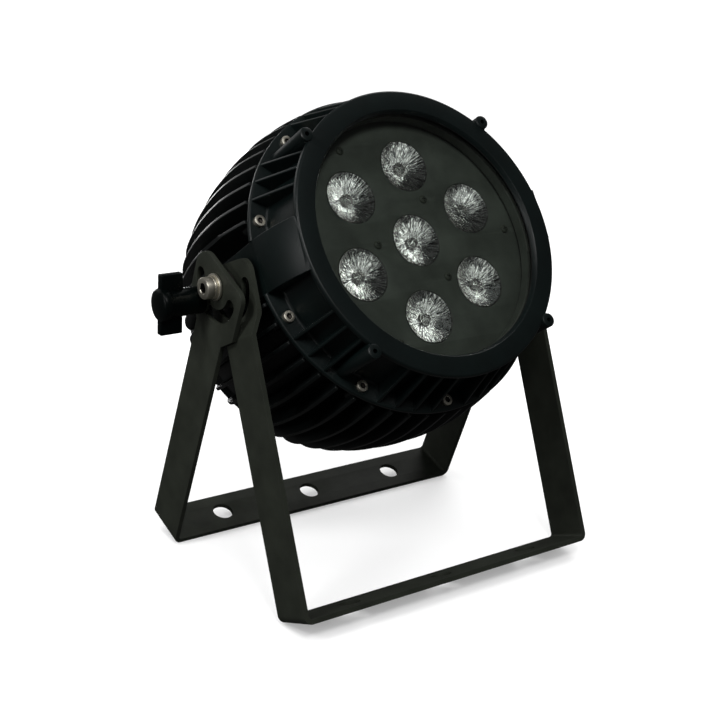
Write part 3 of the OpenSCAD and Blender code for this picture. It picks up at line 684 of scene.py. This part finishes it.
def heat_sink():
    bm = bmesh.new()
    # The core closes in like a bowl and ends in a solid ring that stops the fins' open ends.
    outer = smooth_line([(90.5, SINK_FRONT), (88, 14), (88, -12), (89.5, -32), (89.5, -52),
                         (88.7, -66), (87.5, -76), (85.5, -86), (82.5, -93)], 3)
    outer += [(85.1, -96), (85.3, -96.4), (81.2, -99.8), (77, -102.8), (72, -104.8),
              (RIM_OUT_R, RIM_BACK)]
    inner = [(RIM_IN_R, RIM_BACK), (RIM_IN_R, COVER_Z), (56, COVER_Z), (56, COVER_Z + 4),
             (66.5, COVER_Z + 4), (67.5, -98), (73, -97), (79, -90), (83, -78), (84.5, -62),
             (84.5, -42), (83, -32), (83, DECK_Z - DECK_T), (0, DECK_Z - DECK_T), (0, DECK_Z),
             (82, DECK_Z), (82, SINK_FRONT)]
    lathe(bm, outer + inner, 150)

    fins = bmesh.new()
    edge = smooth_line([(102.8, FIN_FRONT), (105.2, 10), (106.8, -2), (SINK_R, -14), (106.8, -30),
                        (105, -46), (102, -62), (98.2, -76), (92.6, -88), (85.8, -97),
                        (77.8, -103), (68.8, SINK_BACK)], 3)
    # A little inside the true edge, so that the rounded fins stay within the designed size.
    edge = [(r - 0.22, z + (0.2 if z < -90 else 0)) for r, z in edge]
    root = [(64.5, SINK_BACK + 0.2), (64.5, -103), (70, -101), (77, -96), (83, -87), (85.5, -75),
            (86.5, -60), (86.5, -42), (85, -32), (85, 14), (86.5, FIN_FRONT)]
    for i in range(FIN_COUNT):
        turn = turned("Z", math.radians(SCREW_START + 360 * i / FIN_COUNT))
        stand = turn @ moved(0, FIN_T / 2, 0) @ turned("X", math.pi / 2)
        prism(fins, edge + root, 0, FIN_T, (), 0.35, 3, stand)
    bm = boolean(bm, fins, "UNION")
    posts = bmesh.new()
    for place in ring_of(SCREWS, SCREW_RING, SCREW_START):
        rod(posts, 3.8, SINK_FRONT - 11, SINK_FRONT, 0.5, 32, place)
    bm = boolean(bm, posts, "UNION")
    cuts = bmesh.new()
    for side in SIDES:
        x0, x1 = sorted((side * 85.2, side * 115.2))
        boxed(cuts, (x0, LIFT - BLOCK_HALF - 2, BLOCK_BACK - 2), (x1, LIFT + BLOCK_HALF + 2, 32))
    bm = boolean(bm, cuts)
    # Room for the brackets' ears all round the pivot.
    sweep = bmesh.new()
    for side in SIDES:
        place = moved(0, LIFT, 0) @ turned("Y", side * math.pi / 2)
        rod(sweep, EAR_SWEEP_R, EAR_SWEEP_X, 130, 0.1, 96, place)
    bm = boolean(bm, sweep)
    piece("look_heat_sink", bm, "head", "sink_black", ["heat_sink"], smooth=28)


heat_sink()


# ---- fasteners ----------------------------------------------------------------------------
def socket_screw(bm, head_r, z0, z1, hex_r, depth, shank_r, shank_z, matrix, crown=0.5):
    """A screw along Z with a hexagon socket: head from z0 to z1, shank down to shank_z."""
    part = bmesh.new()
    lathe(part, [(hex_r, z1 - 0.3, "hex"), (hex_r, z1 - depth, "hex"),
                 (0, z1 - depth - hex_r * 0.4)], 48, False)
    # The socket's inner faces take the second material, a dark steel that paints the shade in the
    # recess.
    for face in part.faces:
        face.material_index = 1
    lathe(part, [(0, shank_z), (shank_r, shank_z), (shank_r, z0), (head_r - 0.15, z0),
                 (head_r, z0 + 0.15), (head_r, z1 - crown),
                 (head_r - crown * 0.3, z1 - crown * 0.25), (head_r - crown, z1),
                 (hex_r + 0.35, z1), (hex_r, z1 - 0.3, "hex")], 48, False)
    bmesh.ops.remove_doubles(part, verts=part.verts, dist=0.001)
    part.transform(matrix)
    add_part(bm, part)


def flange_screws():
    bm = bmesh.new()
    for i, place in enumerate(ring_of(SCREWS, SCREW_RING, SCREW_START)):
        spin = turned("Z", math.radians(23 * i))
        socket_screw(bm, 3.5, 26.4, 29.6, 1.6, 1.6, 2, 14, place @ spin, 0.5)
    piece("look_flange_screws", bm, "head", "stainless", ["flange_screws"],
          materials=["socket_painted_shade"])


def along_x(side):
    return turned("Y", side * math.pi / 2)


GAP, WASHER_T, SPRING_T = 0.3, 1.6, 2
PIVOT_X = REAR_HALF_W + GAP
FRONT_EAR_X = FRONT_HALF_W - JOGGLE


def pivot_fasteners():
    screws, springs, flats = bmesh.new(), bmesh.new(), bmesh.new()
    head_x = PIVOT_X + WASHER_T + SPRING_T
    coil = [(4.1, 0), (6.8, 0), (6.8, SPRING_T), (4.1, SPRING_T)]
    for side in SIDES:
        out = along_x(side)
        socket_screw(screws, 6.5, head_x, head_x + 5, 3, 3.4, 3.98, 88.5,
                     out @ turned("Z", 0.3), 0.7)
        washer(flats, 8, 4.1, PIVOT_X, PIVOT_X + WASHER_T, 0.25, 64, out)
        spring_washer(springs, coil, out @ moved(0, 0, PIVOT_X + WASHER_T))
    piece("look_pivot_screws", screws, "head", "stainless", ["pivot_screws"], AT_PIVOT,
          materials=["socket_painted_shade"])
    piece("look_spring_washers", springs, "head", "stainless", ["spring_washers"], AT_PIVOT)
    piece("look_flat_washers", flats, "head", "stainless", ["flat_washers"], AT_PIVOT)
    inner, outer = bmesh.new(), bmesh.new()
    for side in SIDES:
        out = along_x(side)
        washer(inner, 11, 4.1, BLOCK_FACE, FRONT_EAR_X - STRIP_T - GAP, 0.3, 64, out)
        washer(outer, 8, 4.3, FRONT_EAR_X + GAP, REAR_HALF_W - STRIP_T - GAP, 0.3, 64, out)
    piece("look_inner_friction_discs", inner, "head", "friction_fibre",
          ["inner_friction_discs"], AT_PIVOT)
    piece("look_outer_friction_discs", outer, "rear_bracket", "friction_fibre",
          ["outer_friction_discs"], AT_PIVOT)


def spring_washer(bm, section, matrix, steps=56, split=8):
    """A ring of that section with a slanting split."""
    loops = []
    section = rounded(section, 0.35, 2)
    for i in range(steps + 1):
        share = i / steps
        loop = []
        for radius, height in section:
            angle = math.radians(split / 2 + (360 - split) * share + 6 * (height - 1) / 2)
            place = Vector((radius * math.cos(angle), radius * math.sin(angle), height))
            loop.append(bm.verts.new(matrix @ place))
        loops.append(loop)
    for a, b in zip(loops, loops[1:]):
        for i in range(len(a)):
            bm.faces.new((a[i - 1], a[i], b[i], b[i - 1]))
    bm.faces.new(loops[0])
    bm.faces.new(reversed(loops[-1]))


flange_screws()
pivot_fasteners()


# ---- knobs ----------------------------------------------------------------------------------
KNOB_X, KNOB_LEN, HUB_R, BOSS_R = PIVOT_X + WASHER_T, 29.4, 8.2, 9.8
BOSS_X0, BOSS_X1 = 23, 27.2
WING_X0, WING_W, WING_T, WING_LEN = 13.2, 14.3, 5, 36.6
AT_STUD = Matrix.Translation(stud_place) @ ROW


def knob(side, name):
    """A T-wing knob with a domed boss, its stud and its washer."""
    bm = bmesh.new()
    out = along_x(side)
    dome = KNOB_LEN - BOSS_X1
    crown = [(BOSS_R * math.cos(a), BOSS_X1 + dome * math.sin(a))
             for a in (0.3, 0.6, 0.9, 1.2, 1.4)]
    lathe(bm, [(0, 0), (HUB_R - 0.6, 0), (HUB_R - 0.1, 0.4), (HUB_R, 1), (HUB_R, BOSS_X0 - 1.4),
               (HUB_R + 0.4, BOSS_X0 - 0.5), (BOSS_R - 0.3, BOSS_X0 + 0.2), (BOSS_R, BOSS_X0 + 0.8),
               (BOSS_R, BOSS_X1), *crown, (0, KNOB_LEN)], 56, False)
    wing = bmesh.new()
    boxed(wing, (-WING_LEN / 2, -WING_T / 2, WING_X0),
          (WING_LEN / 2, WING_T / 2, WING_X0 + WING_W), 0.8, 3)
    bm = boolean(bm, wing, "UNION")
    bore = bmesh.new()
    rod(bore, 3.98, -1, 16, 0.1, 32)
    bm = boolean(bm, bore)
    piece("look_" + name, bm, name, "knob_plastic", [name], AT_STUD @ out @ moved(0, 0, KNOB_X), 35)

    shank = bmesh.new()
    rod(shank, 3.95, BLOCK_FACE - 9, KNOB_X + 15.9, 0.4, 32, out)
    piece("look_" + name.replace("knob", "knob_stud"), shank, name, "zinc_steel",
          [name.replace("knob", "knob_stud")], AT_STUD)
    ring = bmesh.new()
    washer(ring, 7.8, 4.1, PIVOT_X, PIVOT_X + WASHER_T, 0.25, 64, out)
    piece("look_" + name.replace("knob", "knob_washer"), ring, name, "bracket_black",
          [name.replace("knob", "knob_washer")], AT_STUD)


knob(-1, "knob_left")
knob(1, "knob_right")

# ---- window and optics ------------------------------------------------------------------------
LENS_Z, LENS_R, LENS_RING, LENS_TURN = 47.9, 16.5, 48.4, -10
PLATE_Z, PLATE_T, PLATE_R = 45.5, 2, 82.4
lens_angles = [math.radians(LENS_TURN + 30 + 60 * i) for i in range(6)]
LENS_SPOTS = [(0, 0)] + [(LENS_RING * math.cos(a), LENS_RING * math.sin(a)) for a in lens_angles]
# Three pillars near the middle and three near the edge hold the lens plate.
PILLARS = [(r * math.cos(math.radians(LENS_TURN + start + 120 * i)),
            r * math.sin(math.radians(LENS_TURN + start + 120 * i)))
           for r, start in ((29, 70), (70, 10)) for i in range(3)]


def window():
    bm = bmesh.new()
    glass_top = GLASS_Z + GLASS_T
    lathe(bm, [(0, GLASS_Z), (GLASS_R - 0.4, GLASS_Z), (GLASS_R, GLASS_Z + 0.4),
               (GLASS_R, glass_top - 0.4), (GLASS_R - 0.4, glass_top), (0, glass_top)], 128, False)
    piece("look_front_glass", bm, "head", "window_glass", ["front_glass"])
    bm = bmesh.new()
    washer(bm, GLASS_R, WINDOW_R, glass_top, glass_top + 0.6, 0.15, 128)
    piece("look_glass_seal", bm, "head", "seal_rubber", ["glass_seal"])


def lens_plate():
    bm = bmesh.new()
    holes = [circle(x, y, LENS_R + 0.2, 64) for x, y in LENS_SPOTS]
    holes += [circle(x, y, 1.6, 20) for x, y in PILLARS]
    prism(bm, circle(0, 0, PLATE_R, 160), PLATE_Z, PLATE_Z + PLATE_T, holes, 0.2, 2)
    piece("look_lens_plate", bm, "head", "plate_black", ["lens_plate"])
    bm = bmesh.new()
    for i, (x, y) in enumerate(PILLARS):
        cross_screw(bm, 2.6, PLATE_Z + PLATE_T, 1.5, 1.5, PLATE_Z - 5,
                    moved(x, y, 0) @ turned("Z", i * 0.6))
    piece("look_lens_plate_screws", bm, "head", "bracket_black", ["lens_plate_screws"])


def cross_screw(bm, head_r, z0, head_h, shank_r, shank_z, matrix):
    """A pan-head screw with a cross recess."""
    arm, half, floor = head_r * 0.6, head_r * 0.14, 0.45
    part = bmesh.new()
    dome = [(head_r * math.cos(a), z0 + 0.3 + (head_h - 0.3) * math.sin(a))
            for a in (0, 0.35, 0.7, 1.05, 1.35)]
    lathe(part, [(0, shank_z), (shank_r, shank_z), (shank_r, z0), (head_r, z0), *dome,
                 (0, z0 + head_h)], 32, False)
    cross = bmesh.new()
    plus = [(arm, half), (half, half), (half, arm), (-half, arm), (-half, half), (-arm, half),
            (-arm, -half), (-half, -half), (-half, -arm), (half, -arm), (half, -half), (arm, -half)]
    prism(cross, plus, z0 + floor, z0 + head_h + 1)
    part = boolean(part, cross)
    part.transform(matrix)
    add_part(bm, part)


BOWL_R, BOWL_RIM_Z, BOWL_DEPTH, CORE_R = 16, 47.35, 5.2, 4.2
FACET_SIDES, FACET_RINGS, FACET_JOG = 72, 9, 0.1
# The streaks' noise is read at this radius around each lens, and slowly along it.
STREAK_R, STREAK_REACH = 17, 0.16


def lens(i):
    """A clear collimator: a faceted silvery bowl under a flat face, with a ringed core."""
    rng = random.Random(5 + i)
    bm = bmesh.new()
    sides, rings = FACET_SIDES, FACET_RINGS
    loops = []
    for k in range(rings + 1):
        radius = CORE_R + (BOWL_R - CORE_R) * k / rings
        height = BOWL_RIM_Z - BOWL_DEPTH * (1 - (radius / BOWL_R) ** 2)
        loop = []
        for s in range(sides):
            angle = 2 * math.pi * (s + 0.5 * (k % 2)) / sides
            z = height + rng.uniform(-1, 1) * (FACET_JOG if k < rings else 0)
            loop.append(bm.verts.new((radius * math.cos(angle), radius * math.sin(angle), z)))
        loops.append(loop)
    for k, (low, high) in enumerate(zip(loops, loops[1:])):
        for s in range(sides):
            t = (s + 1) % sides
            if k % 2:
                triangles = ((low[s], low[t], high[t]), (low[s], high[t], high[s]))
            else:
                triangles = ((low[s], low[t], high[s]), (low[t], high[t], high[s]))
            for corners in triangles:
                bm.faces.new(corners)
    floor_z = BOWL_RIM_Z - BOWL_DEPTH * (1 - (CORE_R / BOWL_R) ** 2)
    core = [(CORE_R, floor_z), (CORE_R - 0.3, floor_z + 1.1), (3.5, floor_z + 1.2),
            (3.2, floor_z - 0.4), (2.5, floor_z - 0.4), (2.2, floor_z + 0.9),
            (1.2, floor_z + 1.4), (0, floor_z + 1.5)]
    lathe(bm, core, sides, False)
    lathe(bm, [(BOWL_R, BOWL_RIM_Z), (LENS_R - 0.2, LENS_Z - 0.15), (LENS_R, LENS_Z - 0.35),
               (LENS_R, LENS_Z - 1.4), (LENS_R - 0.5, LENS_Z - 1.6), (13, 41), (9, 36),
               (5, 31), (0, 31)], sides, False)
    bmesh.ops.remove_doubles(bm, verts=bm.verts, dist=0.001)
    bmesh.ops.recalc_face_normals(bm, faces=bm.faces)
    polar = bm.verts.layers.float_vector.new("polar")
    for v in bm.verts:
        reach = max(0.001, math.hypot(v.co.x, v.co.y))
        v[polar] = (STREAK_R * v.co.x / reach, STREAK_R * v.co.y / reach,
                    STREAK_REACH * reach + 9 * i)
    # Index 1 is the silvering; 2 is the holder's black, in the core's groove and underneath.
    for face in bm.faces:
        z = face.calc_center_median().z
        face.material_index = 2 if z < floor_z - 0.6 or z < 45 and face.normal.z < 0 else 1
    cap = bmesh.new()
    lathe(cap, [(0, LENS_Z - 0.5), (LENS_R - 1.2, LENS_Z - 0.5), (LENS_R - 1.2, LENS_Z - 0.35),
                (0, LENS_Z - 0.35)], sides, False)
    add_part(bm, cap)
    spot = moved(*LENS_SPOTS[i], 0) @ turned("Z", math.radians(17 * i))
    return piece(f"look_lens_{i + 1}", bm, "head", "lens_clear", [f"lens_{i + 1}"], HEAD @ spot, 3,
                 ("lens_mirror", "holder_black"))


def light_lenses(lenses):
    """Two soft lamps that only the lenses take; the others leave the lenses alone."""
    group = bpy.data.collections.new("lenses_only")
    others = bpy.data.collections.new("all_but_lenses")
    for made in (group, others):
        scene.collection.children.link(made)
        for shown in lenses:
            made.objects.link(shown)
    for entry in others.collection_objects:
        entry.light_linking.link_state = "EXCLUDE"
    for name, offset, size, power in (("lens_glow", (1.0, 0.08, 0.52), (0.9, 0.9), 21),
                                      ("lens_fill", (0.42, -1.0, 0.4), (1.1, 0.7), 3.6)):
        lamp = area_light(name, PIVOT + Vector(offset), PIVOT, size, power)
        lamp.light_linking.receiver_collection = group
    return others


window()
lens_plate()
not_lenses = light_lenses([lens(i) for i in range(len(LENS_SPOTS))])

# ---- rear panel ---------------------------------------------------------------------------------
COVER_FACE, COVER_T, COVER_R = -96, 3, 62.4
COVER_SCREWS = ring_of(8, 59.5, 22.5)
DISPLAY_W, DISPLAY_H, DISPLAY_Y = 44, 20, 20
BUTTON_XS, BUTTON_Y, BUTTON_R, BUTTON_OUT = (-27, -9, 9, 27), -4, 4.5, 2.6
SOCKETS = {"power_inlet": (-30, -33, 16), "power_outlet": (30, -33, 16),
           "data_inlet": (-11, -41, 14), "data_outlet": (11, -41, 14)}
VENT_SPOT, EYE_SPOT, EYE_DROP, EYE_BORE_R = (44, 22), (0, 40), 17.5, 6


def oblong(width, height, y, radius):
    return rounded([(-width / 2, y - height / 2), (width / 2, y - height / 2),
                    (width / 2, y + height / 2), (-width / 2, y + height / 2)], radius, 4)


def rear_cover():
    bm = bmesh.new()
    holes = [oblong(DISPLAY_W, DISPLAY_H, DISPLAY_Y, 1)]
    holes += [circle(*place.to_translation()[:2], 1.7, 20) for place in COVER_SCREWS]
    holes += [circle(x, BUTTON_Y, BUTTON_R + 0.3, 32) for x in BUTTON_XS]
    holes += [circle(x, y, d / 2 + 0.2, 40) for x, y, d in SOCKETS.values()]
    holes += [circle(*VENT_SPOT, 4.2, 32), circle(*EYE_SPOT, 3.2, 32)]
    prism(bm, circle(0, 0, COVER_R, 128), COVER_FACE, COVER_FACE + COVER_T, holes, 0.35, 2)
    piece("look_rear_cover", bm, "head", "sink_black", ["rear_cover"])

    bm = bmesh.new()
    for i, place in enumerate(COVER_SCREWS):
        cross_screw(bm, 2.4, -COVER_FACE, 1.8, 1.5, -COVER_FACE - 6.2,
                    place @ turned("X", math.pi) @ turned("Z", i * 0.7))
    piece("look_rear_cover_screws", bm, "head", "stainless", ["rear_cover_screws"])

    bm = bmesh.new()
    prism(bm, oblong(DISPLAY_W - 0.2, DISPLAY_H - 0.2, DISPLAY_Y, 1), COVER_FACE + 0.4,
          COVER_FACE + COVER_T, (), 0.3, 3)
    piece("look_display_window", bm, "head", "display_tint", ["display_window"])


def button(x, name):
    """A menu button with a dished top and a collar behind the cover."""
    bm = bmesh.new()
    top = BUTTON_OUT
    lathe(bm, [(0, top - 0.5), (2.2, top - 0.38), (3.4, top - 0.05), (3.8, top), (4.2, top - 0.15),
               (BUTTON_R, top - 0.6), (BUTTON_R, -3.2), (BUTTON_R + 1.5, -3.3),
               (BUTTON_R + 1.5, -4.6), (0, -4.6)],
          48, False, moved(x, BUTTON_Y, COVER_FACE) @ turned("X", math.pi))
    piece("look_" + name, bm, name, "button_grey", [name])


def socket(name, x, y, d):
    """A sealed chassis socket: hexagon flange, threaded tube and pins in its mouth."""
    bm = bmesh.new()
    tube, bore, flat = (d + 1) / 2, (d - 3) / 2, (d + 5) / 2 * math.cos(math.pi / 6)
    thread = []
    for i in range(4):
        z = 9 - i * 1.5
        thread += [(tube, z), (tube, z - 0.5), (tube - 0.45, z - 0.8), (tube - 0.45, z - 1.2)]
    profile = [(0, 2), (bore, 2), (bore, 9.6), (bore + 0.4, 10), (tube - 0.5, 10), *thread,
               (tube, 3), (flat - 0.6, 3), (flat, 2.6, "hex"), (flat, 0, "hex"), (d / 2, 0),
               (d / 2, -12), (0, -12)]
    lathe(bm, profile, 48, False, turned("Z", math.pi / 6))
    pins = 3 if d > 15 else 5
    for place in ring_of(pins, bore * 0.55, 90):
        rod(bm, 0.9 if pins == 3 else 0.5, 1.9, 8, 0.3, 16, place)
    bm.transform(moved(x, y, COVER_FACE) @ turned("X", math.pi))
    piece("look_" + name, bm, "head", "socket_plastic", [name])


def rear_fittings():
    """The pressure vent and the eye for a safety cable."""
    bm = bmesh.new()
    lathe(bm, [(0, 2.2), (1.6, 2.2), (2, 2.6), (4.9, 3), (5.7, 2.6), (6, 2), (6, 0), (4, 0),
               (4, -5.5), (0, -5.5)],
          48, False, moved(*VENT_SPOT, COVER_FACE) @ turned("X", math.pi))
    piece("look_vent_plug", bm, "head", "socket_plastic", ["vent_plug"])

    bm = bmesh.new()
    eye_r = EYE_BORE_R + 4
    eye = [(EYE_BORE_R, -2.5), (eye_r, -2.5), (eye_r, 2.5), (EYE_BORE_R, 2.5)]
    lathe(bm, rounded(eye, 1.7, 5), 64, True, moved(0, 0, EYE_DROP) @ turned("Y", math.pi / 2))
    neck = bmesh.new()
    neck_top = EYE_DROP - EYE_BORE_R
    lathe(neck, [(0, neck_top - 1.2), (3.6, neck_top - 1.4), (4, EYE_DROP - 8.5), (4, 3),
                 (4.6, 2.2), (5.6, 2), (6, 1.6), (6, 0), (3, 0), (3, -8.5), (0, -8.5)], 48, False)
    bm = boolean(bm, neck, "UNION")
    bm.transform(moved(*EYE_SPOT, COVER_FACE) @ turned("X", math.pi))
    piece("look_safety_eye", bm, "head", "stainless", ["safety_eye"])


rear_cover()
for x, name in zip(BUTTON_XS, ("button_menu", "button_down", "button_up", "button_enter")):
    button(x, name)
for name, (x, y, d) in SOCKETS.items():
    socket(name, x, y, d)
rear_fittings()

# ---- remaining CAD pieces ------------------------------------------------------------------------
slots = {s["node"]: s["material_slot"] for s in frame["record"]["subparts"]}
for name, shown in frame["nodes"].items():
    if not shown.hide_render:
        shown.data.materials.clear()
        shown.data.materials.append(MATERIALS[slots[name]])

add_camera()
add_floor()
add_world()
# Each lamp: its place and aim, its size and its power.
LAMPS = {
    "key": ((-0.45, -1.0, 1.4), (0, 0, 0.2), (0.4, 0.4), 8),
    "side": ((-1.9, 0.05, 0.5), (0, 0, 0.15), (0.35, 0.5), 3.5),
    "high": ((-1.3, -0.1, 1.3), (0, 0, 0.1), (0.3, 0.3), 5),
    "back": ((-0.4, 1.3, 0.7), (0, 0, 0.2), (1.3, 0.9), 2.5),
    "rear": ((0.35, 1.3, 0.14), (0, 0, 0.17), (0.9, 0.14), 5),
    "rim": ((0.9, 0.5, 1.2), (0, 0, 0.2), (0.7, 0.7), 4),
}
lamps = {name: area_light(name, *values) for name, values in LAMPS.items()}
for lamp in lamps.values():
    lamp.light_linking.receiver_collection = not_lenses
# The low rear lamp, for the back of the head, would also glare off the front bracket's sole.
rear_lit = bpy.data.collections.new("not_front_bracket")
scene.collection.children.link(rear_lit)
for shown in (bpy.data.objects["look_front_bracket"], *not_lenses.objects):
    rear_lit.objects.link(shown)
for entry in rear_lit.collection_objects:
    entry.light_linking.link_state = "EXCLUDE"
lamps["rear"].light_linking.receiver_collection = rear_lit
